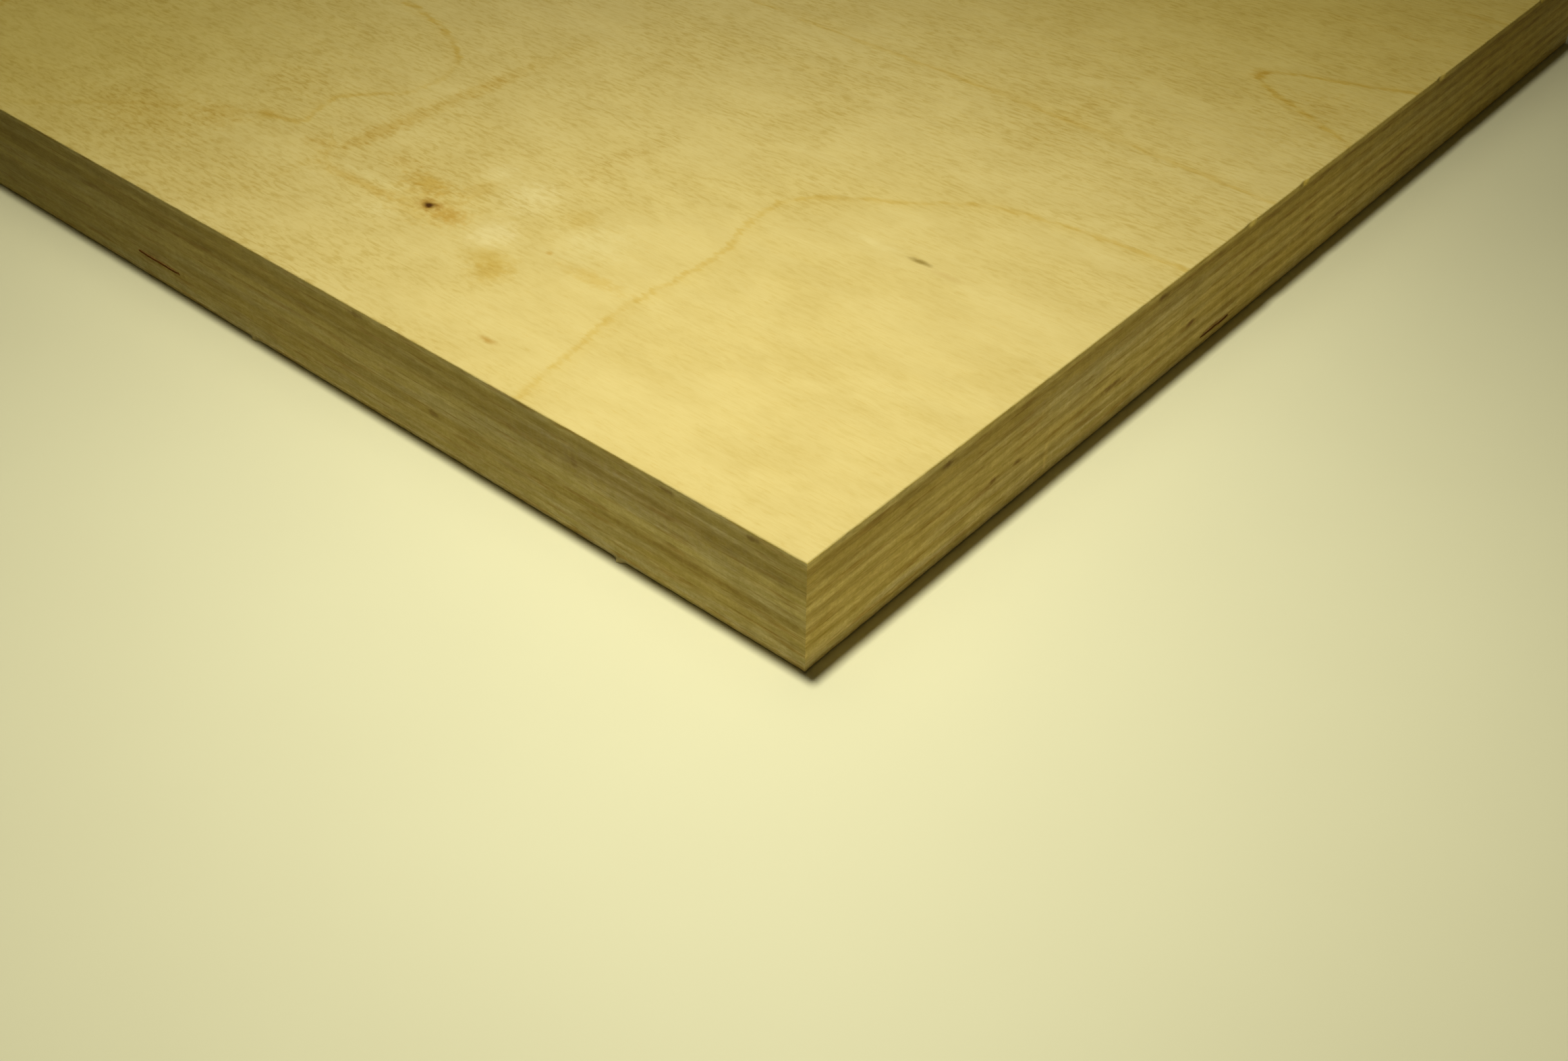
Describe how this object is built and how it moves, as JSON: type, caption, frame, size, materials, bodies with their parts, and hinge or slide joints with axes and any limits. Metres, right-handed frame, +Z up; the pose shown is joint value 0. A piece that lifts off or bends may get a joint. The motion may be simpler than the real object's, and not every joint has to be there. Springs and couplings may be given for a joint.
{
  "type": "plywood sheet",
  "caption": "Flat rectangular sheet of birch plywood with sawn edges that show its crossed veneers, and a sanded face with the grain along its length.",
  "frame": {"origin": "centre of the underside, where the sheet lies on the floor", "axes": "+Z up through the thickness to the face, +Y along the length and the face grain, +X across the width"},
  "size_m": [0.3, 0.6, 0.021],
  "materials": {
    "face_wood": "sanded, unfinished",
    "long_wood": "sawn, unfinished",
    "cross_wood": "sawn, unfinished"
  },
  "bodies": {
    "root": {"back_veneer": "face_wood", "cross_veneer_02": "cross_wood", "long_veneer_03": "long_wood", "cross_veneer_04": "cross_wood", "long_veneer_05": "long_wood", "cross_veneer_06": "cross_wood", "long_veneer_07": "long_wood", "cross_veneer_08": "cross_wood", "long_veneer_09": "long_wood", "cross_veneer_10": "cross_wood", "long_veneer_11": "long_wood", "cross_veneer_12": "cross_wood", "long_veneer_13": "long_wood", "cross_veneer_14": "cross_wood", "face_veneer": "face_wood"}
  },
  "joints": []
}
